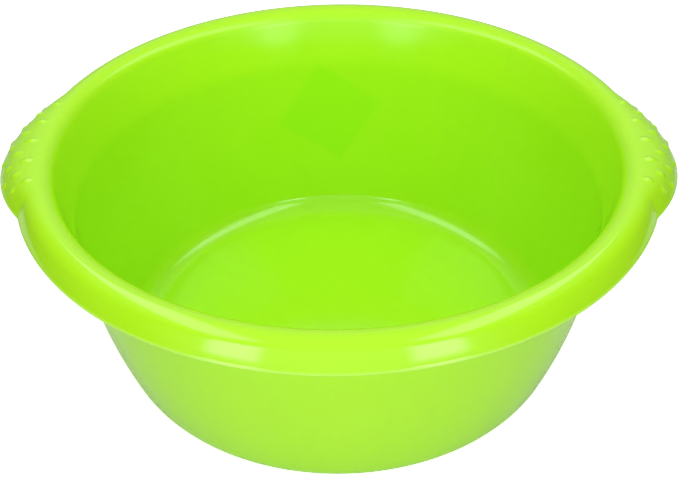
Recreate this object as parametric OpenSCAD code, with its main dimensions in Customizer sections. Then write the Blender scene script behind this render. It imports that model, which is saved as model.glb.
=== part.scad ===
// Round washing up bowl with a rolled rim, a studded grip at each side and a plain square
// label on the back. The bowl is one moulding of even wall. It is drawn as five solids that
// meet face to face: the basin, the two lengths of rolled rim and the two grips.
// The axis is Z, the foot stands on Z = 0, the grips point along X and the label faces +Y.

/* [Overall] */
// Diameter across the lower edge of the rim, from front to back
rim_d = 370; // [350:1:400]
// Height from the foot to the crest of the rim
bowl_h = 145; // [125:1:170]
// Thickness of the moulded wall
wall_t = 2; // [1.5:0.1:3]

/* [Wall and floor] */
// Lean of the straight flare below the rim, in degrees from upright
flare_lean = 18; // [12:1:22]
// Length of the straight flare below the rim
flare_len = 14; // [8:0.5:20]
// Radius of the neck curve that joins the flare to the belly
neck_r = 80; // [50:1:110]
// Lean of the wall where the neck meets the belly, in degrees from upright
neck_lean = 4; // [0:0.5:8]
// Inside radius of the belly curve
belly_r = 326; // [280:1:420]
// Inside radius of the fillet between wall and floor
floor_fillet_r = 18; // [10:1:26]

/* [Foot] */
// Height of the foot ring below the floor
foot_h = 1.5; // [1:0.1:3]
// Width of the foot ring
foot_w = 4; // [2.5:0.5:8]
// How far the foot ring stands out beyond the flat of the floor
foot_out = 2.5; // [0:0.5:5]
// Diameter of the shallow dish round the moulding gate, under the floor
gate_dish_d = 14; // [8:1:24]
// Depth of the dish round the moulding gate
gate_dish_depth = 0.5; // [0.2:0.1:0.8]
// Diameter of the gate mark left in the dish
gate_mark_d = 2.4; // [1.6:0.2:4]

/* [Rim] */
// Outside radius of the rolled crest
crest_r = 10; // [8:0.5:12]
// Drop from the crest to the lower edge of the rim
rim_depth = 14; // [13:0.5:18]
// Radius of the gently curved skirt that hangs from the crest
skirt_r = 45; // [35:1:80]
// Lean of the skirt where it leaves the crest, in degrees from upright
skirt_lean = 30; // [24:1:36]
// How far the bead along the lower edge stands out from the wall on each side
bead_proud = 0.3; // [0.1:0.1:0.8]
// Height of the seam between basin and rim, below the start of the roll
seam_drop = 2; // [1:0.5:4]

/* [Grips] */
// Length of a grip, measured straight across its ends
grip_w = 118; // [90:1:140]
// How far a grip stands out beyond the rim at its middle
grip_out = 11; // [6:0.5:14]
// Number of rows of studs between the crest and the lower edge
stud_rows = 4; // [2:1:5]
// Distance between studs of one row, measured along the rim
stud_pitch = 22; // [14:1:30]
// Distance of the first row of studs from the top of the crest
stud_top = 3.2; // [2:0.2:6]
// Distance of the last row of studs from the lower edge
stud_edge = 3.9; // [3:0.1:6]
// Diameter of a stud
stud_d = 5.5; // [4:0.5:7]
// Height of a stud above the grip
stud_h = 0.9; // [0.5:0.1:1.5]

/* [Label] */
// Side of the square label
label_side = 50; // [30:1:60]
// Thickness of the label
label_t = 0.2; // [0.1:0.05:0.4]
// Height of the middle of the label above the foot
label_z = 73.5; // [60:0.5:90]
// Distance of the label's middle from the Y axis, measured round the wall
label_shift = -9; // [-20:1:20]
// Turn of the label on the wall, in degrees
label_turn = 33.5; // [0:0.5:90]
// Corner radius of the label
label_corner_r = 4; // [1:0.5:10]

/* [Hidden] */
$fn = 180;
plastic_colour = [0.55, 0.90, 0.10];
label_colour = [0.93, 0.93, 0.91];

// Steps along each curve of the section, and round each grip
belly_steps = 16;
fillet_steps = 12;
neck_steps = 5;
crest_steps = 14;
skirt_steps = 5;
bead_steps = 4;
grip_steps = 30;

rim_r = rim_d / 2;
floor_z = foot_h + wall_t;
bead_r = wall_t / 2 + bead_proud;
degrees_per_radian = 180 / PI;

// A point at distance r from a centre, in the direction of angle a
function polar(centre, r, a) = centre + r * [cos(a), sin(a)];
// Points along an arc, both ends included
function arc(centre, r, from, to, steps) =
    [for (i = [0 : steps]) polar(centre, r, from + (to - from) * i / steps)];
function reversed(list) = [for (i = [len(list) - 1 : -1 : 0]) list[i]];

// Centres of the section's arcs, from the lower edge of the rim inwards and down. Angles are
// those of the outward or inward radius. Each arc starts where and as the last one ends.
skirt_end_lean = asin(((skirt_r - crest_r) * sin(skirt_lean) + crest_r - rim_depth) / skirt_r);
skirt_c = [rim_r, bowl_h - rim_depth] - skirt_r * [cos(skirt_end_lean), sin(skirt_end_lean)];
crest_c = polar(skirt_c, skirt_r - crest_r, skirt_lean);
crest_start = polar(crest_c, crest_r, 180 - flare_lean);
flare_dir = [sin(flare_lean), cos(flare_lean)];
flare_start = crest_start - flare_len * flare_dir;
neck_c = flare_start - neck_r * [-cos(flare_lean), sin(flare_lean)];
neck_start = polar(neck_c, neck_r, 180 - neck_lean);
belly_c = neck_start - belly_r * [cos(neck_lean), -sin(neck_lean)];
belly_lean = asin((belly_c[1] - floor_z - floor_fillet_r) / (belly_r - floor_fillet_r));
fillet_c = polar(belly_c, belly_r - floor_fillet_r, -belly_lean);
floor_r = fillet_c[0];

// The seam between basin and rim is level, and lies on the straight flare
seam_in = crest_start - seam_drop / cos(flare_lean) * flare_dir;
seam_out = seam_in + [wall_t / cos(flare_lean), 0];

// Section of the wall from the floor up to the seam: the show side has offset 0, and the
// back of the wall lies one wall thickness away
function wall_curve(offset) = concat(
    arc(fillet_c, floor_fillet_r + offset, -90, -belly_lean, fillet_steps),
    arc(belly_c, belly_r + offset, -belly_lean, -neck_lean, belly_steps),
    arc(neck_c, neck_r - offset, 180 - neck_lean, 180 - flare_lean, neck_steps));

// Arc lengths of crest and skirt from the top of the crest out to the lower edge
crest_len = crest_r * (90 - skirt_lean) / degrees_per_radian;
skirt_len = skirt_r * (skirt_lean - skirt_end_lean) / degrees_per_radian;
face_len = crest_len + skirt_len;

// The lower edge of a grip is an arc in plan, drawn through the rim at both ends of the grip
grip_half = asin(grip_w / 2 / rim_r);
grip_sag = rim_r + grip_out - rim_r * cos(grip_half);
grip_plan_r = (grip_w * grip_w / 4 + grip_sag * grip_sag) / (2 * grip_sag);
grip_plan_c = rim_r + grip_out - grip_plan_r;
// How far the lower edge stands out beyond the rim at angle a from the middle of the grip
function bulge(a) =
    grip_plan_c * cos(a) + sqrt(pow(grip_plan_r, 2) - pow(grip_plan_c * sin(a), 2)) - rim_r;

// Show side of crest and skirt at a length s out from the top of the crest (below zero on the
// inner half), with the skirt moved outwards by b at its lower edge and less towards the crest
function face_angle(s) = s < crest_len
    ? 90 - s / crest_r * degrees_per_radian
    : skirt_lean - (s - crest_len) / skirt_r * degrees_per_radian;
function face_point(s, b) =
    (s < crest_len ? polar(crest_c, crest_r, face_angle(s)) : polar(skirt_c, skirt_r, face_angle(s)))
    + [b * sin(90 * max(s, 0) / face_len), 0];
// Unit vector from the show side into the wall
function face_inward(s, b) =
    let (d = 0.01, run = face_point(s + d, b) - face_point(s - d, b))
    [run[1], -run[0]] / norm(run);

// Stations along the rolled rim: the inner half of the crest, the outer half, then the skirt
inner_len = crest_r * (90 - flare_lean) / degrees_per_radian;
crest_stations = [for (i = [0 : crest_steps]) -inner_len + (inner_len + crest_len) * i / crest_steps];
skirt_stations = [for (i = [1 : skirt_steps]) crest_len + (skirt_len - bead_r) * i / skirt_steps];
rim_stations = concat(crest_stations, skirt_stations);

// The bead is a round along the middle of the wall's edge. It starts where it leaves the
// wall's surface. Half of its points belong to the show side and half to the back, so that
// every section is a strip of pairs. The last pair lies half a step either side of the middle.
bead_start = acos(wall_t / 2 / bead_r);
function edge_middle(b) = face_point(face_len, b) + face_inward(face_len, b) * wall_t / 2;
function edge_angle(b) = let (n = face_inward(face_len, b)) atan2(n[1], n[0]) + 180;
function bead_point(b, turn) = polar(edge_middle(b), bead_r, edge_angle(b) + turn);
bead_turns = [for (i = [0 : bead_steps]) bead_start - (90 + bead_start) * i / (bead_steps + 0.5)];

function show_side(b) = concat(
    [seam_in],
    [for (s = rim_stations) face_point(s, b)],
    [for (t = bead_turns) bead_point(b, t)]);
function back_side(b) = concat(
    [seam_out],
    [for (s = rim_stations) face_point(s, b) + face_inward(s, b) * wall_t],
    [for (t = bead_turns) bead_point(b, -180 - t)]);

// Closed strip section of the rolled rim where its skirt stands out by b
function rim_section(b) = concat(show_side(b), reversed(back_side(b)));

module ring(section) {
    rotate_extrude() polygon(section);
}

module basin() {
    show = wall_curve(0);
    back = wall_curve(wall_t);
    color(plastic_colour)
    difference() {
        union() {
            ring(concat([[0, floor_z]], show, [seam_in, seam_out], reversed(back), [[0, foot_h]]));
            foot_ring();
        }
        translate([0, 0, foot_h]) cylinder(h = 2 * gate_dish_depth, d = gate_dish_d, center = true);
    }
    color(plastic_colour)
    translate([0, 0, foot_h])
        cylinder(h = gate_dish_depth + wall_t / 4, d = gate_mark_d);
}

// Low ring that the bowl stands on, with leaning sides
module foot_ring() {
    outer = floor_r + foot_out;
    draft = foot_h / 4;
    top = foot_h + wall_t * 0.75;
    ring([[outer - foot_w, top], [outer - foot_w + draft, 0], [outer - draft, 0], [outer, top]]);
}

// A length of plain rolled rim between the grips, centred on angle a
module plain_rim(a) {
    span = 180 - 2 * grip_half;
    color(plastic_colour)
    rotate([0, 0, a - span / 2])
        rotate_extrude(angle = span) polygon(rim_section(0));
}

module front_rim() {
    plain_rim(-90);
}

module rear_rim() {
    plain_rim(90);
}

// The rolled rim with its skirt drawn out into a grip, lofted through sections round the axis
module grip_shell() {
    angles = [for (i = [0 : grip_steps]) grip_half * (2 * i / grip_steps - 1)];
    sections = [for (a = angles) rim_section(abs(a) < grip_half ? bulge(a) : 0)];
    n = len(sections[0]);
    pairs = n / 2;
    points = [for (i = [0 : grip_steps]) for (p = sections[i])
        [p[0] * cos(angles[i]), p[0] * sin(angles[i]), p[1]]];
    skin = [for (i = [0 : grip_steps - 1]) for (j = [0 : n - 1])
        let (k = (j + 1) % n, a = i * n + j, b = i * n + k, c = (i + 1) * n + k, d = (i + 1) * n + j)
        each [[a, c, b], [a, d, c]]];
    start_cap = [for (j = [0 : pairs - 2])
        let (a = j, b = j + 1, c = n - 2 - j, d = n - 1 - j) each [[a, b, c], [a, c, d]]];
    last = grip_steps * n;
    end_cap = [for (face = start_cap) [face[0] + last, face[2] + last, face[1] + last]];
    polyhedron(points, concat(skin, start_cap, end_cap), convexity = 4);
}

// Domed studs in staggered rows. Each is a slice of a sphere that stands square on the grip.
module studs() {
    dome_r = (stud_d * stud_d / 4 + stud_h * stud_h) / (2 * stud_h);
    step = stud_pitch / rim_r * degrees_per_radian;
    margin = stud_d / rim_r * degrees_per_radian;
    most = ceil(grip_half / step);
    row_gap = (face_len - stud_top - stud_edge) / (stud_rows - 1);
    for (row = [0 : stud_rows - 1]) {
        s = stud_top + row_gap * row;
        for (col = [-most : most]) {
            a = step * (col + (row % 2) / 2);
            if (abs(a) < grip_half - margin) {
                p = face_point(s, bulge(a));
                n = -face_inward(s, bulge(a));
                rotate([0, 0, a])
                    translate([p[0], 0, p[1]])
                        rotate([0, atan2(n[0], n[1]), 0])
                            stud(dome_r);
            }
        }
    }
}

module stud(dome_r) {
    root = wall_t / 4;
    intersection() {
        translate([0, 0, stud_h - dome_r]) sphere(r = dome_r, $fn = 48);
        translate([0, 0, -root]) cylinder(h = stud_h + 2 * root, d = stud_d, $fn = 24);
    }
}

module grip() {
    color(plastic_colour)
    union() {
        grip_shell();
        studs();
    }
}

module right_grip() {
    grip();
}

module left_grip() {
    rotate([0, 0, 180]) grip();
}

module rounded_square(side, corner_r) {
    square([side, side - 2 * corner_r], center = true);
    square([side - 2 * corner_r, side], center = true);
    reach = side / 2 - corner_r;
    for (x = [-reach, reach]) for (y = [-reach, reach])
        translate([x, y]) circle(r = corner_r, $fn = 32);
}

// The label follows the back of the wall: a thin skin cut to a turned square
module label() {
    lean = asin((belly_c[1] - label_z) / belly_r);
    middle = polar(belly_c, belly_r + wall_t, -lean);
    aside = label_shift / middle[0] * degrees_per_radian;
    half_arc = label_side / middle[0] * degrees_per_radian;
    inner = arc(belly_c, belly_r + wall_t, -belly_lean, -neck_lean, belly_steps);
    outer = arc(belly_c, belly_r + wall_t + label_t, -belly_lean, -neck_lean, belly_steps);
    color(label_colour)
    rotate([0, 0, 90 - aside])
    intersection() {
        rotate([0, 0, -half_arc])
            rotate_extrude(angle = 2 * half_arc) polygon(concat(inner, reversed(outer)));
        translate([middle[0], 0, middle[1]])
            rotate([0, 90 + lean, 0])
                rotate([0, 0, label_turn])
                    linear_extrude(height = label_side / 2, center = true)
                        rounded_square(label_side, label_corner_r);
    }
}

basin();
front_rim();
rear_rim();
left_grip();
right_grip();
label();
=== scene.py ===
"""Looks of the round washing up bowl: one glossy lime moulding and a plain paper label.

Everything is in metres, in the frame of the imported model: the bowl's axis is Z, its foot stands
on Z = 0, the grips point along X and the label faces +Y.
"""

import logging
import math
from dataclasses import dataclass, field
from enum import Enum
from typing import Any, Mapping, Sequence

import bmesh
import bpy
from mathutils import Matrix, Vector


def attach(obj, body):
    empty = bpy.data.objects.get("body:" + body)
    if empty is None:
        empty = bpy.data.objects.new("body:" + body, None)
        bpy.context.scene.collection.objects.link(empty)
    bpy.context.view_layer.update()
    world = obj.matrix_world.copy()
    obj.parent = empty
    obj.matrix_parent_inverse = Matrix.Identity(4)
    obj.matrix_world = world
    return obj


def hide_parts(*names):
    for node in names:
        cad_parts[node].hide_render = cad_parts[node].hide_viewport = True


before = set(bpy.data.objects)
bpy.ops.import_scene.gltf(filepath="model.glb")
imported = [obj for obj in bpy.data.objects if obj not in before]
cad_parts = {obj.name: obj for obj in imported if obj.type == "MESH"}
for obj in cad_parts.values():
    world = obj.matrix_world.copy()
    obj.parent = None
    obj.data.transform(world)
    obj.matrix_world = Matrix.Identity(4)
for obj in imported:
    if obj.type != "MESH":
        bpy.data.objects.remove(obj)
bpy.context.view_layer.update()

MM = 0.001
CM3_PER_M3 = 1e6
log = logging.getLogger("washing_up_bowl")

Colour = tuple[float, float, float]
Place = tuple[float, float, float]
Point = tuple[float, float]
Span = tuple[float, float]
Tree = bpy.types.NodeTree
Socket = bpy.types.NodeSocket

WHITE = (1.0, 1.0, 1.0, 1.0)


class LampSide(Enum):
    """Side of the bowl on which a softbox stands, as the sign of its X."""

    LEFT = -1
    RIGHT = 1


# Trees of nodes


class Num:
    """A number that changes over a shape. Arithmetic on it adds Math nodes to its tree."""

    def __init__(self, tree: Tree, socket: Socket) -> None:
        """Wraps an output socket.

        Args:
            tree: The tree that holds the socket.
            socket: The output that carries the number.
        """
        self.tree = tree
        self.socket = socket

    def apply(self, operation: str, *values: Any, clamp: bool = False) -> "Num":
        """Adds a Math node whose first input is this number.

        Args:
            operation: The Math node's operation.
            values: Its other inputs, as plain numbers or Num.
            clamp: Whether the result is kept between 0 and 1.

        Returns:
            The node's output.
        """
        node = self.tree.nodes.new("ShaderNodeMath")
        node.operation = operation
        node.use_clamp = clamp
        for socket, value in zip(node.inputs, (self, *values)):
            feed(self.tree, socket, value)
        return Num(self.tree, node.outputs[0])

    def __add__(self, other: Any) -> "Num":
        """Sum of the two."""
        return self.apply("ADD", other)

    def __sub__(self, other: Any) -> "Num":
        """This number less the other."""
        return self.apply("SUBTRACT", other)

    def __rsub__(self, other: float) -> "Num":
        """The other number less this one."""
        return self.apply("MULTIPLY_ADD", -1.0, other)

    def __mul__(self, other: Any) -> "Num":
        """Product of the two."""
        return self.apply("MULTIPLY", other)

    def __truediv__(self, other: Any) -> "Num":
        """This number divided by the other."""
        return self.apply("DIVIDE", other)

    def __pow__(self, other: Any) -> "Num":
        """This number raised to the other."""
        return self.apply("POWER", other)

    def floor(self) -> "Num":
        """Largest whole number that isn't above this one."""
        return self.apply("FLOOR")

    def size(self) -> "Num":
        """This number without its sign."""
        return self.apply("ABSOLUTE")

    def clamped(self) -> "Num":
        """This number kept between 0 and 1."""
        return self.apply("ADD", 0.0, clamp=True)


def feed(tree: Tree, socket: Socket, value: Any) -> None:
    """Links an input to what feeds it, or sets its value.

    Args:
        tree: The tree that holds the socket.
        socket: The input.
        value: A Num, an output socket or a plain value.
    """
    if isinstance(value, Num):
        value = value.socket
    if isinstance(value, Socket):
        tree.links.new(value, socket)
    else:
        socket.default_value = value


def add_node(
    tree: Tree,
    kind: str,
    inputs: Mapping[Any, Any] | None = None,
    **settings: Any,
) -> bpy.types.Node:
    """Adds one node.

    Args:
        tree: The tree to add it to.
        kind: The node's type name.
        inputs: What feeds its inputs, by name or number.
        settings: The node's own settings.

    Returns:
        The node.
    """
    node = tree.nodes.new(kind)
    for name, value in settings.items():
        setattr(node, name, value)
    for key, value in (inputs or {}).items():
        feed(tree, node.inputs[key], value)
    return node


def made(
    tree: Tree, kind: str, inputs: Mapping[Any, Any] | None = None, **settings: Any
) -> Socket:
    """First output of a node that is added as add_node adds it."""
    return add_node(tree, kind, inputs, **settings).outputs[0]


def new_tree(
    kind: str, name: str, takes: Sequence[tuple[str, str]], gives: Sequence[tuple[str, str]]
) -> tuple[Tree, bpy.types.Node, bpy.types.Node]:
    """Makes a node group with named inputs and outputs.

    Args:
        kind: The tree's type name.
        name: The group's name.
        takes: Name and socket type of each input.
        gives: Name and socket type of each output.

    Returns:
        The tree, its input node and its output node.
    """
    tree = bpy.data.node_groups.new(name, kind)
    for label, socket_type in takes:
        tree.interface.new_socket(label, in_out="INPUT", socket_type=socket_type)
    for label, socket_type in gives:
        tree.interface.new_socket(label, in_out="OUTPUT", socket_type=socket_type)
    return tree, tree.nodes.new("NodeGroupInput"), tree.nodes.new("NodeGroupOutput")


def split(tree: Tree, vector: Socket) -> tuple[Num, Num, Num]:
    """Splits a vector into its X, Y and Z."""
    parts = add_node(tree, "ShaderNodeSeparateXYZ", {0: vector})
    x, y, z = (Num(tree, output) for output in parts.outputs)
    return x, y, z


def soft_step(value: Num, low: float, high: float) -> Num:
    """Rises smoothly from 0 where the value is low to 1 where it is high.

    Args:
        value: The number that decides.
        low: The value at which the step starts.
        high: The value at which it ends.

    Returns:
        The step.
    """
    node = add_node(
        value.tree,
        "ShaderNodeMapRange",
        {"Value": value, "From Min": low, "From Max": high},
        interpolation_type="SMOOTHSTEP",
    )
    return Num(value.tree, node.outputs["Result"])


def noise(vector: Socket, scale: Any, detail: float) -> Num:
    """Slowly changing number, about 0 to 1, that depends on a place.

    Args:
        vector: The place.
        scale: How fast it changes, as a plain number or what feeds it.
        detail: How much finer noise is laid over it.

    Returns:
        The number.
    """
    tree = vector.node.id_data
    inputs = {"Vector": vector, "Scale": scale, "Detail": detail}
    return Num(tree, add_node(tree, "ShaderNodeTexNoise", inputs).outputs["Fac"])


# The wall's section


@dataclass(frozen=True)
class Row:
    """One point of the wall's section, and how it follows a grip that is drawn out of the rim."""

    point: Point
    run: Point = (0.0, 1.0)
    depth: float = 0.0
    along: float = 0.0
    draw: float = 0.0
    draw_rate: float = 0.0
    station: float = -1.0


def polar(centre: Point, radius: float, angle: float) -> Point:
    """Point at a distance from a centre, in the direction of an angle in degrees."""
    turn = math.radians(angle)
    return centre[0] + radius * math.cos(turn), centre[1] + radius * math.sin(turn)


def spaced(start: float, end: float, steps: int) -> list[float]:
    """Evenly spaced numbers, both ends included."""
    return [start + (end - start) * i / steps for i in range(steps + 1)]


def arc(centre: Point, radius: float, start: float, end: float, steps: int) -> list[Point]:
    """Points along an arc, both ends included.

    Args:
        centre: The arc's centre.
        radius: Its radius.
        start: Direction of its first point, in degrees.
        end: Direction of its last point, in degrees.
        steps: Number of steps between them.

    Returns:
        The points.
    """
    return [polar(centre, radius, angle) for angle in spaced(start, end, steps)]


def rounded_path(corners: Sequence[Point], radius: float, steps: int, hold: float) -> list[Point]:
    """Path through corners, each of them rounded, with a point beside each round to hold shading.

    Args:
        corners: The path's corners. The first and the last one stay sharp.
        radius: Radius of the rounds.
        steps: Number of steps in each round.
        hold: Distance from a round's end to the point that holds it, where there is room.

    Returns:
        The path's points, without the first and the last corner.
    """
    most_of_room = 0.8
    path: list[Point] = []
    for before, here, after in zip(corners, corners[1:], corners[2:]):
        a, b, c = Vector(before), Vector(here), Vector(after)
        back, on = (a - b).normalized(), (c - b).normalized()
        half = back.angle(on) / 2
        middle = b + (back + on).normalized() * (radius / math.sin(half))
        reach = radius / math.tan(half)
        first, last = b + back * reach, b + on * reach
        room = min((a - b).length, (c - b).length) / 2 - reach
        margin = min(hold, room * most_of_room)
        path.append(tuple(first + back * margin))
        spin = (first - middle).angle_signed(last - middle)
        for i in range(steps + 1):
            turn = Matrix.Rotation(-spin * i / steps, 2)
            path.append(tuple(middle + turn @ (first - middle)))
        path.append(tuple(last + on * margin))
    return path


@dataclass(frozen=True)
class SectionSteps:
    """Number of steps in each stretch of the section, from the floor over the rim and back."""

    fillet: int = 12
    belly: int = 18
    neck: int = 10
    inner_crest: int = 10
    outer_crest: int = 17
    skirt: int = 14
    bead: int = 8
    skirt_back: int = 4
    crest_back: int = 10
    neck_back: int = 5
    belly_back: int = 14
    fillet_back: int = 8
    foot_round: int = 2


@dataclass(frozen=True)
class WallSection:
    """Section of the moulded wall from the middle of the floor over the rim to the foot.

    The floor, the fillet, the belly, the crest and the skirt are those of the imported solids. The
    flare and the wide neck only give the height at which the belly ends. From there a tighter
    neck and a steeper straight wall are drawn up to the crest. The flanks of the foot lean by
    its draft, and the outer one runs into the fillet at the height at which the foot meets it.
    """

    rim_radius: float = 185 * MM
    height: float = 145 * MM
    wall: float = 2 * MM
    flare_lean: float = 18.0
    flare_length: float = 14 * MM
    neck_radius: float = 80 * MM
    neck_lean: float = 4.0
    tight_neck_radius: float = 36 * MM
    belly_radius: float = 326 * MM
    fillet_radius: float = 18 * MM
    foot_height: float = 1.5 * MM
    foot_width: float = 4 * MM
    foot_out: float = 2.5 * MM
    foot_sunk: float = 1.5 * MM
    foot_draft: float = 0.375 * MM
    foot_meets: float = 1.635 * MM
    foot_shoulder: Point = (2 * MM, 0.45 * MM)
    gate_dish_radius: float = 7 * MM
    gate_dish_depth: float = 0.5 * MM
    gate_mark_radius: float = 1.2 * MM
    crest_radius: float = 10 * MM
    rim_depth: float = 14 * MM
    skirt_radius: float = 45 * MM
    skirt_lean: float = 30.0
    bead_proud: float = 0.3 * MM
    bead_reach: float = 1.3 * MM
    edge_round: float = 0.15 * MM
    edge_hold: float = 0.4 * MM
    floor_rings: tuple[float, ...] = (0.0, 12 * MM, 60 * MM, 100 * MM)
    floor_hold: float = 1.5 * MM
    wall_holds: Span = (0.05, 0.95)
    steps: SectionSteps = field(default_factory=SectionSteps)

    @property
    def skirt_end_lean(self) -> float:
        """Lean of the skirt at its lower edge, in degrees from upright."""
        rise = (self.skirt_radius - self.crest_radius) * math.sin(math.radians(self.skirt_lean))
        drop = rise + self.crest_radius - self.rim_depth
        return math.degrees(math.asin(drop / self.skirt_radius))

    @property
    def skirt_centre(self) -> Point:
        """Centre of the skirt's curve."""
        edge = (self.rim_radius, self.height - self.rim_depth)
        return polar(edge, -self.skirt_radius, self.skirt_end_lean)

    @property
    def crest_centre(self) -> Point:
        """Centre of the rolled crest."""
        return polar(self.skirt_centre, self.skirt_radius - self.crest_radius, self.skirt_lean)

    @property
    def flare_start(self) -> Point:
        """Lower end of the straight flare, on the show side."""
        top = polar(self.crest_centre, self.crest_radius, 180 - self.flare_lean)
        return polar(top, -self.flare_length, 90 - self.flare_lean)

    @property
    def neck_centre(self) -> Point:
        """Centre of the wide neck's curve, which lies outside the bowl."""
        return polar(self.flare_start, -self.neck_radius, 180 - self.flare_lean)

    @property
    def neck_start(self) -> Point:
        """Point at which the belly ends and both necks start, on the show side."""
        return polar(self.neck_centre, self.neck_radius, 180 - self.neck_lean)

    @property
    def tight_neck_centre(self) -> Point:
        """Centre of the tighter neck that is drawn from the same start."""
        return polar(self.neck_start, -self.tight_neck_radius, 180 - self.neck_lean)

    @property
    def upper_lean(self) -> float:
        """Lean of the straight wall from the tighter neck up to the crest, in degrees."""
        across = self.crest_centre[0] - self.tight_neck_centre[0]
        up = self.crest_centre[1] - self.tight_neck_centre[1]
        turn = math.asin((self.tight_neck_radius - self.crest_radius) / math.hypot(across, up))
        return math.degrees(turn + math.atan2(across, up))

    @property
    def belly_centre(self) -> Point:
        """Centre of the belly's curve."""
        return polar(self.neck_start, -self.belly_radius, -self.neck_lean)

    @property
    def floor_height(self) -> float:
        """Height of the floor's show side."""
        return self.foot_height + self.wall

    @property
    def belly_lean(self) -> float:
        """Lean of the wall where the belly meets the fillet, in degrees from upright."""
        drop = self.belly_centre[1] - self.floor_height - self.fillet_radius
        return math.degrees(math.asin(drop / (self.belly_radius - self.fillet_radius)))

    @property
    def fillet_centre(self) -> Point:
        """Centre of the fillet between floor and wall."""
        return polar(self.belly_centre, self.belly_radius - self.fillet_radius, -self.belly_lean)

    @property
    def crest_length(self) -> float:
        """Length of the outer half of the crest, along its show side."""
        return self.crest_radius * math.radians(90 - self.skirt_lean)

    @property
    def face_length(self) -> float:
        """Length from the top of the crest out to the lower edge, along the show side."""
        skirt = self.skirt_radius * math.radians(self.skirt_lean - self.skirt_end_lean)
        return self.crest_length + skirt

    def wall_curve(self, offset: float, steps: tuple[int, int, int]) -> list[Point]:
        """Curve of the wall from the floor to the end of the neck.

        Args:
            offset: Distance behind the show side.
            steps: Steps along fillet, belly and neck.

        Returns:
            The curve's points, from the floor up.
        """
        fillet, belly = self.fillet_radius + offset, self.belly_radius + offset
        neck = self.tight_neck_radius - offset
        low, high = 180 - self.neck_lean, 180 - self.upper_lean
        return [
            *arc(self.fillet_centre, fillet, -90, -self.belly_lean, steps[0]),
            *arc(self.belly_centre, belly, -self.belly_lean, -self.neck_lean, steps[1])[1:],
            *arc(self.tight_neck_centre, neck, low, high, steps[2])[1:],
        ]

    def upper_wall(self) -> list[Point]:
        """Points near both ends of the straight wall under the crest, which hold its shading.

        Returns:
            The points, from the lower one up.
        """
        turn = 180 - self.upper_lean
        low = Vector(polar(self.tight_neck_centre, self.tight_neck_radius, turn))
        high = Vector(polar(self.crest_centre, self.crest_radius, turn))
        return [tuple(low.lerp(high, share)) for share in self.wall_holds]

    def face_row(self, station: float, depth: float = 0.0, along: float = 0.0) -> Row:
        """Row on the crest or the skirt.

        Args:
            station: Length from the top of the crest out to the row, below zero on the inner half.
            depth: Distance of the row behind the show side.
            along: Distance of the row past its station, along the show side.

        Returns:
            The row. Only one on the show side keeps its station, because only there studs rise.
        """
        if station < self.crest_length:
            angle = 90 - math.degrees(station / self.crest_radius)
            point = polar(self.crest_centre, self.crest_radius, angle)
        else:
            past_crest = station - self.crest_length
            angle = self.skirt_lean - math.degrees(past_crest / self.skirt_radius)
            point = polar(self.skirt_centre, self.skirt_radius, angle)
        share = math.pi / 2 * max(station, 0.0) / self.face_length
        rate = math.pi / 2 / self.face_length * math.cos(share) if station >= 0 else 0.0
        on_show = depth == 0 and along == 0 and station > 0
        return Row(
            point=point,
            run=polar((0.0, 0.0), 1.0, angle - 90),
            depth=depth,
            along=along,
            draw=math.sin(share),
            draw_rate=rate,
            station=station if on_show else -1.0,
        )

    def bead_rows(self) -> list[Row]:
        """Rows round the bead along the lower edge.

        Returns:
            The rows, from the show side to the back.
        """
        half = self.wall / 2
        radius = half + self.bead_proud
        start = math.degrees(math.acos(half / radius))
        turns = [math.radians(turn) for turn in spaced(start, -180 - start, self.steps.bead)]
        return [
            self.face_row(
                self.face_length, half - radius * math.cos(turn), -radius * math.sin(turn)
            )
            for turn in turns
        ]

    def under_floor(self) -> list[Point]:
        """Points of the foot ring, the flat underside and the dish round the gate mark.

        Returns:
            The points, from the foot's outer flank inwards.
        """
        outer = self.fillet_centre[0] + self.foot_out
        inner = outer - self.foot_width
        draft = self.foot_draft
        lean = draft / (self.foot_height + self.foot_sunk)
        dish_top = self.foot_height + self.gate_dish_depth
        corners = [
            (outer + self.foot_shoulder[0], self.foot_meets + self.foot_shoulder[1]),
            (outer - draft + lean * self.foot_meets, self.foot_meets),
            (outer - draft, 0.0),
            (inner + draft, 0.0),
            (inner + draft - lean * self.foot_height, self.foot_height),
            (self.gate_dish_radius, self.foot_height),
            (self.gate_dish_radius, dish_top),
            (self.gate_mark_radius, dish_top),
            (self.gate_mark_radius, self.foot_height),
            (0.0, self.foot_height),
        ]
        return rounded_path(corners, self.edge_round, self.steps.foot_round, self.edge_hold)

    def rows(self) -> list[Row]:
        """All rows of the section.

        Returns:
            The rows, from the middle of the floor over the rim to the gate mark.
        """
        steps, back = self.steps, self.wall
        inner = -self.crest_radius * math.radians(90 - self.upper_lean)
        outer, bead_top = self.crest_length, self.face_length - self.bead_reach
        floor_radii = (*self.floor_rings, self.fillet_centre[0] - self.floor_hold)
        front_steps = (steps.fillet, steps.belly, steps.neck)
        back_steps = (steps.fillet_back, steps.belly_back, steps.neck_back)
        return [
            *[Row((radius, self.floor_height)) for radius in floor_radii],
            *[Row(point) for point in self.wall_curve(0.0, front_steps)],
            *[Row(point) for point in self.upper_wall()],
            *[self.face_row(s) for s in spaced(inner, 0.0, steps.inner_crest)],
            *[self.face_row(s) for s in spaced(0.0, outer, steps.outer_crest)[1:]],
            *[self.face_row(s) for s in spaced(outer, bead_top, steps.skirt)[1:]],
            *self.bead_rows(),
            *[self.face_row(s, back) for s in spaced(bead_top, outer, steps.skirt_back)],
            *[self.face_row(s, back) for s in spaced(outer, inner, steps.crest_back)[1:]],
            *[Row(point) for point in reversed(self.wall_curve(back, back_steps)[1:])],
            *[Row(point) for point in self.under_floor()],
            Row((0.0, self.foot_height)),
        ]


# The moulding


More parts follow.
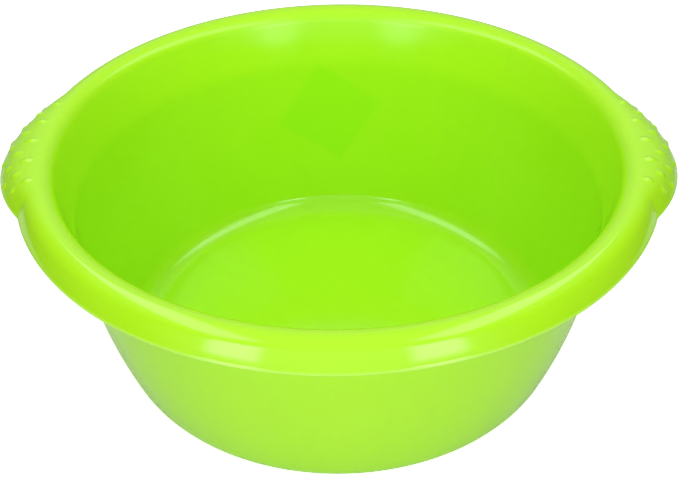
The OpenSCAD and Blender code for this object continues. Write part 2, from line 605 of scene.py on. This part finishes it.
@dataclass(frozen=True)
class GripPlan:
    """Outline of a grip seen from above: an arc through the rim at both ends of the grip."""

    rim_radius: float = 185 * MM
    width: float = 118 * MM
    reach: float = 11 * MM

    @property
    def half_angle(self) -> float:
        """Half of the angle that a grip takes of the rim, in radians."""
        return math.asin(self.width / 2 / self.rim_radius)

    @property
    def radius(self) -> float:
        """Radius of the outline."""
        sag = self.rim_radius + self.reach - self.rim_radius * math.cos(self.half_angle)
        return (self.width**2 / 4 + sag**2) / (2 * sag)

    @property
    def centre(self) -> float:
        """Distance of the outline's centre from the bowl's axis."""
        return self.rim_radius + self.reach - self.radius


@dataclass(frozen=True)
class StudPattern:
    """Staggered rows of low domes on the show side of a grip."""

    rows: int = 4
    pitch: float = 22 * MM
    first: float = 3.2 * MM
    last_from_edge: float = 3.9 * MM
    diameter: float = 5.5 * MM
    height: float = 0.88 * MM
    softness: float = 1.5

    def row_gap(self, face_length: float) -> float:
        """Distance between rows on a face of this length."""
        return (face_length - self.first - self.last_from_edge) / (self.rows - 1)


class SweepTree:
    """Tree that sweeps the section round the axis, draws out the grips and raises their studs."""

    def __init__(self, inputs: Mapping[str, int | float]) -> None:
        """Makes the tree, and finds the row of the section and the column of each vertex.

        Args:
            inputs: Its counts and sizes, by the names of its inputs.
        """
        kinds = {int: "NodeSocketInt", float: "NodeSocketFloat"}
        takes = [
            ("Section", "NodeSocketGeometry"),
            *[(label, kinds[type(value)]) for label, value in inputs.items()],
            ("Material", "NodeSocketMaterial"),
        ]
        gives = [("Moulding", "NodeSocketGeometry")]
        tree, given, result = new_tree("GeometryNodeTree", "swept_wall", takes, gives)
        self.tree, self.given, self.result = tree, given.outputs, result.inputs[0]
        self.size = {label: Num(tree, self.given[label]) for label in inputs}
        section = {"Geometry": self.given["Section"]}
        count = add_node(tree, "GeometryNodeAttributeDomainSize", section)
        index = Num(tree, made(tree, "GeometryNodeInputIndex"))
        self.rows = Num(tree, count.outputs["Point Count"])
        self.column = (index / self.rows).floor()
        self.row = index - self.column * self.rows

    def attribute(self, name: str, kind: str) -> Socket:
        """Field of one named attribute."""
        inputs = {"Name": name}
        return made(self.tree, "GeometryNodeInputNamedAttribute", inputs, data_type=kind)

    def sampled(self, value: Socket, kind: str) -> Socket:
        """Value of one of the section's fields at the vertex's row."""
        inputs = {"Geometry": self.given["Section"], "Value": value, "Index": self.row}
        return made(self.tree, "GeometryNodeSampleIndex", inputs, data_type=kind)

    def number(self, name: str) -> Num:
        """One of the section's plain attributes at the vertex's row."""
        return Num(self.tree, self.sampled(self.attribute(name, "FLOAT"), "FLOAT"))

    def pair(self, value: Socket) -> tuple[Num, Num]:
        """X and Z of one of the section's vectors at the vertex's row."""
        x, _, z = split(self.tree, self.sampled(value, "FLOAT_VECTOR"))
        return x, z

    def column_angle(self) -> tuple[Num, Num, Num]:
        """Direction of a column, with fine steps on the grips and wide ones between them.

        Returns:
            The column's angle from the middle of its grip, its angle from +X, and 1 on a grip.
        """
        fine, wide = self.size["Steps on a grip"], self.size["Steps between grips"]
        half_angle, half_steps = self.size["Grip half angle"], fine + wide

        # The columns are counted from one end of the right grip
        half_turns = (self.column / half_steps).floor()
        step = self.column - half_turns * half_steps
        on_grip = step.apply("LESS_THAN", fine)
        grip_angle = step / fine * half_angle * 2.0 - half_angle
        rim_angle = (step - fine) / wide * (math.pi - half_angle * 2.0) + half_angle
        angle = on_grip * grip_angle + (1.0 - on_grip) * rim_angle
        return angle, angle + half_turns * math.pi, on_grip

    def bulge(self, angle: Num, on_grip: Num) -> Num:
        """How far the rim's lower edge stands out beyond the plain round rim.

        Args:
            angle: Angle from the middle of the grip.
            on_grip: 1 on a grip.

        Returns:
            The distance.
        """
        centre, radius = self.size["Outline centre"], self.size["Outline radius"]
        aside = centre * angle.apply("SINE")
        reach = (radius * radius - aside * aside).apply("MAXIMUM", 0.0).apply("SQRT")
        out = on_grip * (centre * angle.apply("COSINE") + reach - self.size["Rim radius"])
        return out.apply("MAXIMUM", 0.0)

    def swept_point(self, bulge: Num) -> tuple[Num, Num]:
        """Radius and height of the row's point, drawn out by the bulge.

        Args:
            bulge: How far the lower edge stands out.

        Returns:
            The radius and the height.
        """
        point_r, point_z = self.pair(made(self.tree, "GeometryNodeInputPosition"))
        run_r, run_z = self.pair(self.attribute("run", "FLOAT_VECTOR"))
        run_r = run_r + bulge * self.number("draw_rate")
        length = (run_r * run_r + run_z * run_z).apply("SQRT")
        run_r, run_z = run_r / length, run_z / length
        depth, along = self.number("depth"), self.number("along")
        radius = point_r + bulge * self.number("draw") + run_z * depth + run_r * along
        return radius, point_z - run_r * depth + run_z * along

    def stud_centres(self) -> Socket:
        """Adds the points at which studs stand, laid out on the unrolled grip.

        Returns:
            The output that carries the points.
        """
        tree, size = self.tree, self.size
        pitch = size["Stud pitch"]
        width = size["Grip half angle"] * size["Rim radius"]
        each_side = (width / pitch).apply("CEIL")
        in_row = each_side * 2.0 + 1.0
        index = Num(tree, made(tree, "GeometryNodeInputIndex"))
        row = (index / in_row).floor()
        column = index - row * in_row - each_side
        across = pitch * (column + row.apply("MODULO", 2.0) * 0.5)
        down = size["First stud row"] + row * size["Stud row gap"]
        place = made(tree, "ShaderNodeCombineXYZ", {"X": across, "Y": down})
        laid_out = {"Count": in_row * size["Stud rows"], "Position": place}
        points = made(tree, "GeometryNodePoints", laid_out)
        beyond = across.size().apply("GREATER_THAN", width - size["Stud diameter"])
        dropped = {"Geometry": points, "Selection": beyond}
        return made(tree, "GeometryNodeDeleteGeometry", dropped, domain="POINT")

    def studded(self, skin: Socket) -> Socket:
        """Lifts the skin into a low dome round each stud's centre.

        Args:
            skin: The output that carries the swept skin.

        Returns:
            The output that carries the studded skin.
        """
        tree, size = self.tree, self.size
        unrolled = self.attribute("unrolled", "FLOAT_VECTOR")
        inputs = {"Geometry": self.stud_centres(), "Sample Position": unrolled}
        nearest = add_node(tree, "GeometryNodeProximity", inputs, target_element="POINTS")
        share = Num(tree, nearest.outputs["Distance"]) / (size["Stud diameter"] * 0.5)
        share = share.clamped()
        rise = (1.0 - share * share) ** size["Stud softness"] * size["Stud height"]
        outward = {0: made(tree, "GeometryNodeInputNormal"), "Scale": rise}
        offset = made(tree, "ShaderNodeVectorMath", outward, operation="SCALE")
        return made(tree, "GeometryNodeSetPosition", {"Geometry": skin, "Offset": offset})

    def build(self, weld: float) -> Tree:
        """Links the whole tree.

        Args:
            weld: Distance under which vertices are merged, at the seam and at both poles.

        Returns:
            The tree.
        """
        tree = self.tree
        steps = self.size["Steps on a grip"] + self.size["Steps between grips"]
        grid = {"Vertices X": steps * 2.0 + 1.0, "Vertices Y": self.rows}
        skin = add_node(tree, "GeometryNodeMeshGrid", grid).outputs["Mesh"]
        angle, turn, on_grip = self.column_angle()
        radius, height = self.swept_point(self.bulge(angle, on_grip))
        x, y = radius * turn.apply("COSINE"), radius * turn.apply("SINE")
        place = made(tree, "ShaderNodeCombineXYZ", {"X": x, "Y": y, "Z": height})
        skin = made(tree, "GeometryNodeSetPosition", {"Geometry": skin, "Position": place})

        # Place on the unrolled grip, by which studs rise. Off the grips it lies a metre away
        across = angle * self.size["Rim radius"] + (1.0 - on_grip)
        inputs = {"X": across, "Y": self.number("station")}
        place = made(tree, "ShaderNodeCombineXYZ", inputs)
        inputs = {"Geometry": skin, "Name": "unrolled", "Value": place}
        store = "GeometryNodeStoreNamedAttribute"
        skin = made(tree, store, inputs, data_type="FLOAT_VECTOR", domain="POINT")

        inputs = {"Geometry": skin, "Distance": weld}
        skin = made(tree, "GeometryNodeMergeByDistance", inputs)
        skin = self.studded(made(tree, "GeometryNodeFlipFaces", {"Mesh": skin}))
        skin = made(tree, "GeometryNodeSetShadeSmooth", {"Geometry": skin})
        skin = made(tree, "GeometryNodeRealizeInstances", {"Geometry": skin})
        inputs = {"Geometry": skin, "Material": self.given["Material"]}
        feed(tree, self.result, made(tree, "GeometryNodeSetMaterial", inputs))
        return tree


@dataclass
class Moulding:
    """The bowl's one moulding: floor, wall, rolled rim, grips and foot in a single closed skin."""

    section: WallSection = field(default_factory=WallSection)
    plan: GripPlan = field(default_factory=GripPlan)
    studs: StudPattern = field(default_factory=StudPattern)
    grip_steps: int = 180
    rim_steps: int = 96
    weld: float = 0.004 * MM
    row_values: tuple[str, ...] = ("depth", "along", "draw", "draw_rate", "station")

    def section_object(self) -> bpy.types.Object:
        """Makes the object that the sweep starts from: one vertex for each row of the section.

        Returns:
            The object, with what each row does at the grips in its attributes.
        """
        rows = self.section.rows()
        mesh = bpy.data.meshes.new("bowl_moulding")
        edges = [(i, i + 1) for i in range(len(rows) - 1)]
        mesh.from_pydata([(row.point[0], 0.0, row.point[1]) for row in rows], edges, [])
        for name in self.row_values:
            values = mesh.attributes.new(name, "FLOAT", "POINT").data
            values.foreach_set("value", [getattr(row, name) for row in rows])
        runs = mesh.attributes.new("run", "FLOAT_VECTOR", "POINT").data
        runs.foreach_set("vector", [x for row in rows for x in (row.run[0], 0.0, row.run[1])])
        body = bpy.data.objects.new("bowl_moulding", mesh)
        bpy.context.scene.collection.objects.link(body)
        return body

    def inputs(self) -> dict[str, int | float]:
        """Counts and sizes that the sweep takes as named inputs.

        Returns:
            The value of each input, by its name.
        """
        plan, studs = self.plan, self.studs
        return {
            "Steps on a grip": self.grip_steps,
            "Steps between grips": self.rim_steps,
            "Rim radius": plan.rim_radius,
            "Grip half angle": plan.half_angle,
            "Outline radius": plan.radius,
            "Outline centre": plan.centre,
            "Stud rows": studs.rows,
            "Stud pitch": studs.pitch,
            "First stud row": studs.first,
            "Stud row gap": studs.row_gap(self.section.face_length),
            "Stud diameter": studs.diameter,
            "Stud height": studs.height,
            "Stud softness": studs.softness,
        }

    def build(self, material: bpy.types.Material) -> bpy.types.Object:
        """Makes the moulding's mesh.

        Args:
            material: The material it is dressed in.

        Returns:
            The finished piece.
        """
        body = self.section_object()
        inputs = self.inputs()
        tree = SweepTree(inputs).build(self.weld)
        values = {**inputs, "Material": material}
        modifier = body.modifiers.new("sweep", "NODES")
        modifier.node_group = tree
        for socket in tree.interface.items_tree:
            if socket.in_out == "INPUT" and socket.name in values:
                modifier[socket.identifier] = values[socket.name]
        view_layer = bpy.context.evaluated_depsgraph_get()
        baked = bpy.data.meshes.new_from_object(body.evaluated_get(view_layer))
        body.modifiers.remove(modifier)
        body.data = baked
        baked.name = "bowl_moulding"
        self.close(baked)
        return body

    def close(self, mesh: bpy.types.Mesh) -> None:
        """Turns every face outwards, counts open edges and drops what only the sweep needed.

        Args:
            mesh: The moulding's mesh.
        """
        shape = bmesh.new()
        shape.from_mesh(mesh)
        bmesh.ops.recalc_face_normals(shape, faces=shape.faces)
        if shape.calc_volume(signed=True) < 0:
            bmesh.ops.reverse_faces(shape, faces=shape.faces)
        open_edges = sum(not edge.is_manifold for edge in shape.edges)
        faces, volume = len(shape.faces), shape.calc_volume() * CM3_PER_M3
        log.info("moulding: %d faces, %d open edges, %.1f cm3", faces, open_edges, volume)
        shape.to_mesh(mesh)
        shape.free()
        for name in ("unrolled", "run", *self.row_values):
            if name in mesh.attributes:
                mesh.attributes.remove(mesh.attributes[name])


# Finishes

GRAIN_DETAIL = 3.0


def grain_group() -> Tree:
    """Makes the group for the fine unevenness of a moulded or printed surface.

    Returns:
        A group that turns a place into a height and a slow variation, both about 0 to 1.
    """
    takes = [
        ("Vector", "NodeSocketVector"),
        ("Scale", "NodeSocketFloat"),
        ("Coarse scale", "NodeSocketFloat"),
    ]
    gives = [("Height", "NodeSocketFloat"), ("Variation", "NodeSocketFloat")]
    tree, given, result = new_tree("ShaderNodeTree", "fine_grain", takes, gives)
    for scale, output in (("Scale", "Height"), ("Coarse scale", "Variation")):
        value = noise(given.outputs["Vector"], given.outputs[scale], GRAIN_DETAIL)
        feed(tree, result.inputs[output], value)
    return tree


@dataclass(frozen=True)
class Scuffs:
    """Short light scuffs in two directions, gathered in patches."""

    layers: tuple[Point, ...] = ((0.4, 0.0), (2.1, 3.7))
    tilts: Point = (0.7, 1.3)
    stretch: float = 9.0
    line_span: Span = (0.70, 0.76)
    patch_scale: float = 0.45
    patch_span: Span = (0.9, 1.05)
    noise_detail: float = 1.0

    def group(self) -> Tree:
        """Makes the group.

        Returns:
            A group that turns a place into a mask of thin scuffs.
        """
        takes = [
            ("Vector", "NodeSocketVector"),
            ("Scale", "NodeSocketFloat"),
            ("Share", "NodeSocketFloat"),
        ]
        tree, given, result = new_tree(
            "ShaderNodeTree", "fine_scuffs", takes, [("Mask", "NodeSocketFloat")]
        )
        vector, scale = given.outputs["Vector"], given.outputs["Scale"]
        masks = []
        for turn, offset in self.layers:
            turned = {
                "Vector": vector,
                "Rotation": (turn, turn * self.tilts[0], turn * self.tilts[1]),
                "Location": (offset, offset, offset),
                "Scale": (1.0, self.stretch, self.stretch),
            }
            place = made(tree, "ShaderNodeMapping", turned)
            masks.append(soft_step(noise(place, scale, self.noise_detail), *self.line_span))
        patches = noise(vector, Num(tree, scale) * self.patch_scale, self.noise_detail)
        present = soft_step(patches + Num(tree, given.outputs["Share"]), *self.patch_span)
        feed(tree, result.inputs[0], masks[0].apply("MAXIMUM", masks[1]) * present)
        return tree


@dataclass(frozen=True)
class SharedEffects:
    """Node groups that more than one finish places in its material."""

    grain: Tree = field(default_factory=grain_group)
    scuffs: Tree = field(default_factory=lambda: Scuffs().group())


def mixed_colour(share: Num, first: Any, second: Any) -> Socket:
    """Mixes two colours.

    Args:
        share: Share of the second colour, kept between 0 and 1.
        first: The first colour, plain or from a socket.
        second: The second colour, plain or from a socket.

    Returns:
        The mixed colour.
    """
    node = add_node(share.tree, "ShaderNodeMix", {0: share.clamped()}, data_type="RGBA")
    colour_inputs = [socket for socket in node.inputs if socket.type == "RGBA"]
    for socket, value in zip(colour_inputs, (first, second)):
        feed(share.tree, socket, (*value, 1.0) if isinstance(value, tuple) else value)
    return next(socket for socket in node.outputs if socket.type == "RGBA")


@dataclass(frozen=True)
class FineDetail:
    """Settings of the shared effects and of the bump in one finish."""

    grain_scale: float
    drift_scale: float
    scuff_scale: float
    scuff_share: float
    bump_strength: float
    bump_height: float


class Dressing:
    """A new material with the shared effects placed in it."""

    def __init__(self, name: str, detail: FineDetail, effects: SharedEffects) -> None:
        """Makes the material and places the effects.

        Args:
            name: The material's name.
            detail: Settings of the effects.
            effects: The shared node groups.
        """
        self.material = bpy.data.materials.new(name)
        self.material.use_nodes = True
        self.detail = detail
        self.tree = self.material.node_tree
        self.shader = self.tree.nodes["Principled BSDF"]
        self.coords = add_node(self.tree, "ShaderNodeTexCoord").outputs["Object"]
        grain = {"Scale": detail.grain_scale, "Coarse scale": detail.drift_scale}
        scuffs = {"Scale": detail.scuff_scale, "Share": detail.scuff_share}
        uneven, scuffed = (
            add_node(
                self.tree, "ShaderNodeGroup", {"Vector": self.coords, **values}, node_tree=group
            )
            for group, values in ((effects.grain, grain), (effects.scuffs, scuffs))
        )
        self.grain = Num(self.tree, uneven.outputs["Height"])
        self.drift = Num(self.tree, uneven.outputs["Variation"])
        self.scuffs = Num(self.tree, scuffed.outputs["Mask"])

    def finish(self, colour: Socket, roughness: Num, height: Num) -> bpy.types.Material:
        """Feeds the shader.

        Args:
            colour: Colour of the surface.
            roughness: Roughness of the surface.
            height: Height from which its bump is made.

        Returns:
            The material.
        """
        bump = {
            "Height": height,
            "Strength": self.detail.bump_strength,
            "Distance": self.detail.bump_height,
        }
        normal = made(self.tree, "ShaderNodeBump", bump)
        feeds = {"Base Color": colour, "Roughness": roughness, "Normal": normal}
        for name, value in feeds.items():
            feed(self.tree, self.shader.inputs[name], value)
        return self.material


@dataclass(frozen=True)
class LabelPlace:
    """Place of the square label on the back of the wall, and of the shade painted on the wall
    where it blocks light.
    """

    side: float = 50 * MM
    height: float = 73.5 * MM
    shift: float = -9 * MM
    turn: float = 33.5
    wall_radius: float = 153 * MM
    lean: float = 9.7
    back_from: float = 50 * MM

    def mask(self, coords: Socket, blur: float, grow: float) -> Num:
        """Mask of the painted shade where the label blocks light through the wall: a square with
        blurred edges.

        Args:
            coords: Place on the piece.
            blur: Width of the blurred edge.
            grow: How far the painted shade spreads past the square on each side.

        Returns:
            A number that is 1 inside the square and 0 away from it.
        """
        aside = self.shift / self.wall_radius
        outward = Vector((math.sin(aside), math.cos(aside), 0.0))
        across = Vector((-math.cos(aside), math.sin(aside), 0.0))
        lean, turn = math.radians(self.lean), math.radians(self.turn)
        up = outward * math.sin(lean) + Vector((0.0, 0.0, math.cos(lean)))
        middle = outward * self.wall_radius + Vector((0.0, 0.0, self.height))
        sides = (
            across * math.cos(turn) + up * math.sin(turn),
            up * math.cos(turn) - across * math.sin(turn),
        )
        half = self.side / 2 + grow
        mask = self.length_along(coords, outward).apply("GREATER_THAN", self.back_from)
        for axis in sides:
            reach = (self.length_along(coords, axis) - middle.dot(axis)).size()
            mask = (1.0 - soft_step(reach, half - blur / 2, half + blur / 2)) * mask
        return mask

    def length_along(self, coords: Socket, axis: Vector) -> Num:
        """Length of a place along an axis.

        Args:
            coords: The place.
            axis: Direction of the axis, one metre long.

        Returns:
            The length.
        """
        tree = coords.node.id_data
        inputs = {0: coords, 1: tuple(axis)}
        node = add_node(tree, "ShaderNodeVectorMath", inputs, operation="DOT_PRODUCT")
        return Num(tree, node.outputs["Value"])


@dataclass(frozen=True)
class LimePlastic:
    """Glossy, slightly translucent lime polypropylene, with shade painted where the label on its
    back blocks light through the wall.

    It is scuffed here and there, worn under the foot and along the rim's lower edge, and a
    little rougher where hands hold the inside of the rim.
    """

    colour: Colour = (0.446, 0.891, 0.015)
    deep: Colour = (0.432, 0.880, 0.013)
    tones: Span = (0.3, 0.7)
    # Painted shade: a darker colour where the label on the back blocks light through the wall
    label_painted_shade: Colour = (0.377, 0.873, 0.011)
    painted_shade_strength: float = 0.8
    painted_shade_blur: float = 3 * MM
    painted_shade_spread: float = 1 * MM
    worn: Colour = (0.58, 0.90, 0.22)
    scuff_wear: float = 0.55
    foot_wear: float = 0.6
    foot_heights: Span = (0.1 * MM, 0.9 * MM)
    edge_wear: float = 0.3
    edge_height: float = 130.9 * MM
    edge_band: Span = (0.5 * MM, 1.1 * MM)
    edge_radii: Span = (180 * MM, 183 * MM)
    roughness: float = 0.11
    worn_roughness: float = 0.5
    drift: float = 0.05
    lip_roughness: float = 0.12
    lip_heights: Span = (122 * MM, 136 * MM)
    lip_radii: Span = (165 * MM, 171 * MM)
    flow_core: float = 10 * MM
    flow_stretch: float = 0.8
    flow_scale: float = 9.0
    flow_detail: float = 4.0
    flow_height: float = 1.5
    detail: FineDetail = FineDetail(
        grain_scale=420.0,
        drift_scale=14.0,
        scuff_scale=60.0,
        scuff_share=0.22,
        bump_strength=0.25,
        bump_height=0.06 * MM,
    )
    ior: float = 1.49

    def flow_lines(self, x: Num, y: Num, z: Num, radius: Num) -> Num:
        """Faint flow lines that run out from the gate in the middle of the floor.

        Args:
            x: Place on the piece along X.
            y: Place along Y.
            z: Height.
            radius: Distance from the bowl's axis.

        Returns:
            A number of about 0 to 1.
        """
        away = radius + self.flow_core
        inputs = {"X": x / away, "Y": y / away, "Z": (radius + z) * self.flow_stretch}
        place = made(x.tree, "ShaderNodeCombineXYZ", inputs)
        return noise(place, self.flow_scale, self.flow_detail)

    def wear(self, z: Num, radius: Num, scuffs: Num) -> Num:
        """Where the plastic is worn.

        Args:
            z: Height.
            radius: Distance from the bowl's axis.
            scuffs: Mask of scuffs.

        Returns:
            A mask that is 0 where the surface is as new.
        """
        foot = (1.0 - soft_step(z, *self.foot_heights)) * self.foot_wear
        band = 1.0 - soft_step((z - self.edge_height).size(), *self.edge_band)
        edge = band * soft_step(radius, *self.edge_radii) * self.edge_wear
        return (scuffs * self.scuff_wear).apply("MAXIMUM", foot).apply("MAXIMUM", edge)

    def build(self, place: LabelPlace, effects: SharedEffects) -> bpy.types.Material:
        """Makes the material.

        Args:
            place: Where the label's painted shade lies on the wall.
            effects: The shared node groups.

        Returns:
            The material.
        """
        dressing = Dressing("lime_plastic", self.detail, effects)
        dressing.shader.inputs["IOR"].default_value = self.ior
        coords, slow = dressing.coords, dressing.drift
        x, y, z = split(dressing.tree, coords)
        radius = (x * x + y * y).apply("SQRT")
        flow = self.flow_lines(x, y, z, radius)
        worn = self.wear(z, radius, dressing.scuffs)

        tone = soft_step(flow * 0.5 + slow * 0.5, *self.tones)
        # Painted shade of the label, which blocks light through the wall, mixed into the colour
        behind = place.mask(coords, self.painted_shade_blur, self.painted_shade_spread) * self.painted_shade_strength
        blend = mixed_colour(tone, self.colour, self.deep)
        blend = mixed_colour(behind, blend, self.label_painted_shade)

        inside_lip = soft_step(z, *self.lip_heights) * (1.0 - soft_step(radius, *self.lip_radii))
        rough = (slow - 0.5) * self.drift + self.roughness + inside_lip * self.lip_roughness
        rough = rough + worn * (self.worn_roughness - self.roughness)
        height = dressing.grain + flow * self.flow_height
        return dressing.finish(mixed_colour(worn, blend, self.worn), rough, height)


@dataclass(frozen=True)
class LabelPaper:
    """Matt off-white label paper without print."""

    colour: Colour = (0.86, 0.86, 0.83)
    fibre: Colour = (0.78, 0.78, 0.74)
    fibre_span: Span = (0.35, 0.7)
    fibre_strength: float = 0.6
    scuff_strength: float = 0.4
    roughness: float = 0.62
    drift: float = 0.12
    detail: FineDetail = FineDetail(
        grain_scale=1800.0,
        drift_scale=160.0,
        scuff_scale=120.0,
        scuff_share=0.3,
        bump_strength=0.5,
        bump_height=0.03 * MM,
    )

    def build(self, effects: SharedEffects) -> bpy.types.Material:
        """Makes the material.

        Args:
            effects: The shared node groups.

        Returns:
            The material.
        """
        dressing = Dressing("label_paper", self.detail, effects)
        slow = dressing.drift
        fibre = soft_step(slow, *self.fibre_span) * self.fibre_strength
        share = fibre + dressing.scuffs * self.scuff_strength
        rough = slow * self.drift + (self.roughness - self.drift / 2)
        return dressing.finish(
            mixed_colour(share, self.colour, self.fibre), rough, dressing.grain
        )


# Studio


@dataclass(frozen=True)
class Softbox:
    """A rectangular soft lamp that stands on the right of the bowl, or mirrored on the left.

    Its length stands upright where it faces level, and lies along Y where it looks down. Its
    fade is the share of its width and length over which its cloth darkens towards each edge.
    """

    name: str
    centre: Place
    aim: Place
    width: float
    length: float
    radiance: float
    fade: float
    level_below: float = 0.6

    def cloth(self, lamp: bpy.types.Light) -> None:
        """Makes the lamp fade towards its edges, as the cloth of a softbox does.

        Args:
            lamp: The lamp's data.
        """
        lamp.use_nodes = True
        tree = lamp.node_tree
        place = add_node(tree, "ShaderNodeNewGeometry").outputs["Parametric"]
        across, along, _ = split(tree, place)
        glow = [soft_step(0.5 - (part - 0.5).size(), 0.0, self.fade) for part in (across, along)]
        feed(tree, tree.nodes["Emission"].inputs["Strength"], glow[0] * glow[1])

    def build(self, side: LampSide) -> bpy.types.Object:
        """Makes the lamp.

        Args:
            side: The side of the bowl it stands on.

        Returns:
            The lamp's object.
        """
        lamp = bpy.data.lights.new(f"{self.name}_{side.name.lower()}", "AREA")
        lamp.shape = "RECTANGLE"
        lamp.size, lamp.size_y = self.width, self.length
        lamp.energy = self.radiance * math.pi * self.width * self.length
        self.cloth(lamp)
        holder = bpy.data.objects.new(lamp.name, lamp)
        mirror = Vector((side.value, 1.0, 1.0))
        centre, aim = Vector(self.centre) * mirror, Vector(self.aim) * mirror
        back = (centre - aim).normalized()
        faces_level = abs(back.z) < self.level_below
        along = Vector((0.0, 0.0, 1.0)) if faces_level else Vector((0.0, 1.0, 0.0))
        across = along.cross(back).normalized()
        turn = Matrix((across, back.cross(across), back)).transposed()
        holder.matrix_world = Matrix.Translation(centre) @ turn.to_4x4()
        holder.visible_camera = False
        bpy.context.scene.collection.objects.link(holder)
        return holder


FRONT_PANEL = Softbox(
    name="front_panel",
    centre=(0.39, -0.72, 0.34),
    aim=(0.0, 0.0, 0.34),
    width=0.27,
    length=0.49,
    radiance=4.5,
    fade=0.2,
)
SIDE_STRIP = Softbox(
    name="side_strip",
    centre=(0.262, -0.04, 0.56),
    aim=(-0.12, -0.04, 0.05),
    width=0.20,
    length=0.86,
    radiance=2.8,
    fade=0.16,
)


@dataclass(frozen=True)
class Surroundings:
    """Even light from all round: dim at the sides, pale in front, behind and overhead.

    Each span is a range of a direction's Y or Z over which the light changes.
    """

    sides: float = 0.05
    ends: float = 0.90
    zenith: float = 0.55
    low_behind: float = 0.45
    front_to_back: Span = (-0.3, 0.3)
    sides_to_ends: Span = (0.4, 0.95)
    rise_behind: Span = (0.2, 0.62)
    rise_overhead: Span = (0.45, 0.85)

    def build(self) -> bpy.types.World:
        """Makes the world, which is plain white where the camera looks straight at it.

        Returns:
            The world.
        """
        world = bpy.data.worlds.new("studio")
        world.use_nodes = True
        tree = world.node_tree
        light = tree.nodes["Background"]
        light.inputs["Color"].default_value = WHITE
        direction = add_node(tree, "ShaderNodeTexCoord").outputs["Generated"]
        _, forward, upward = split(tree, direction)
        in_front = 1.0 - soft_step(forward, *self.front_to_back)
        behind = soft_step(upward, *self.rise_behind) * (1.0 - self.low_behind) + self.low_behind
        ends = soft_step(forward.size(), *self.sides_to_ends)
        ends = ends * in_front.apply("MAXIMUM", behind)
        sky = ends * (self.ends - self.sides) + self.sides
        overhead = soft_step(upward, *self.rise_overhead) * self.zenith
        seen = Num(tree, add_node(tree, "ShaderNodeLightPath").outputs["Is Camera Ray"])
        light_up = sky.apply("MAXIMUM", overhead).apply("MAXIMUM", seen)
        feed(tree, light.inputs["Strength"], light_up)
        bpy.context.scene.world = world
        return world


@dataclass(frozen=True)
class PhotoCamera:
    """Camera at the photograph's viewing angle. Its turns are in degrees."""

    place: Place = (0.01351, -0.61567, 0.53015)
    down: float = 36.659
    turn: float = 1.2
    roll: float = -0.769
    lens: float = 66.18
    sensor_width: float = 36.0
    clip: Span = (0.02, 50.0)

    def build(self) -> bpy.types.Object:
        """Makes the camera and sets it as the scene's.

        Returns:
            The camera.
        """
        data = bpy.data.cameras.new("camera")
        data.lens = self.lens
        data.sensor_width = self.sensor_width
        data.clip_start, data.clip_end = self.clip
        camera = bpy.data.objects.new("camera", data)
        turn = Matrix.Rotation(math.radians(self.turn), 4, "Z")
        down = Matrix.Rotation(math.radians(90 - self.down), 4, "X")
        roll = Matrix.Rotation(math.radians(self.roll), 4, "Z")
        camera.matrix_world = Matrix.Translation(self.place) @ turn @ down @ roll
        bpy.context.scene.collection.objects.link(camera)
        bpy.context.scene.camera = camera
        return camera


@dataclass(frozen=True)
class Studio:
    """Pale floor, even surrounding light, softboxes on both sides and the camera."""

    lamps: tuple[Softbox, ...] = (FRONT_PANEL, SIDE_STRIP)
    surroundings: Surroundings = field(default_factory=Surroundings)
    camera: PhotoCamera = field(default_factory=PhotoCamera)
    floor_width: float = 1.1
    floor_depth: float = 3.0
    floor_colour: Colour = (0.9, 0.9, 0.9)
    floor_roughness: float = 0.9
    floor_lift: float = 0.75

    def floor(self) -> bpy.types.Object:
        """Makes the floor, which keeps the bowl's shadow and looks white to the camera.

        Returns:
            The floor.
        """
        across, along = self.floor_width / 2, self.floor_depth / 2
        mesh = bpy.data.meshes.new("studio_floor")
        signs = ((-1, -1), (1, -1), (1, 1), (-1, 1))
        corners = [(x * across, y * along, 0.0) for x, y in signs]
        mesh.from_pydata(corners, [], [(0, 1, 2, 3)])
        floor = bpy.data.objects.new("studio_floor", mesh)
        bpy.context.scene.collection.objects.link(floor)
        material = bpy.data.materials.new("studio_floor")
        material.use_nodes = True
        tree = material.node_tree
        shader = tree.nodes["Principled BSDF"]
        shader.inputs["Base Color"].default_value = (*self.floor_colour, 1.0)
        shader.inputs["Roughness"].default_value = self.floor_roughness
        shader.inputs["Specular IOR Level"].default_value = 0.0
        shader.inputs["Emission Color"].default_value = WHITE
        seen = Num(tree, add_node(tree, "ShaderNodeLightPath").outputs["Is Camera Ray"])
        feed(tree, shader.inputs["Emission Strength"], seen * self.floor_lift)
        mesh.materials.append(material)
        return floor

    def build(self) -> None:
        """Makes floor, light and camera."""
        self.floor()
        self.surroundings.build()
        for lamp in self.lamps:
            for side in LampSide:
                lamp.build(side)
        self.camera.build()
        bpy.context.scene.view_settings.view_transform = "Standard"


# The whole


def main() -> None:
    """Builds the bowl and its studio."""
    logging.basicConfig(level=logging.INFO, format="%(name)s: %(message)s")
    effects = SharedEffects()
    moulding = Moulding().build(LimePlastic().build(LabelPlace(), effects))
    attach(moulding, "root")
    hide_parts("basin", "front_rim", "rear_rim", "left_grip", "right_grip")
    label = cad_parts["label"]
    label.data.materials.clear()
    label.data.materials.append(LabelPaper().build(effects))
    for piece in (moulding, label):
        log.info("%s: %d faces", piece.name, len(piece.data.polygons))
    Studio().build()


if __name__ == "__main__":
    main()
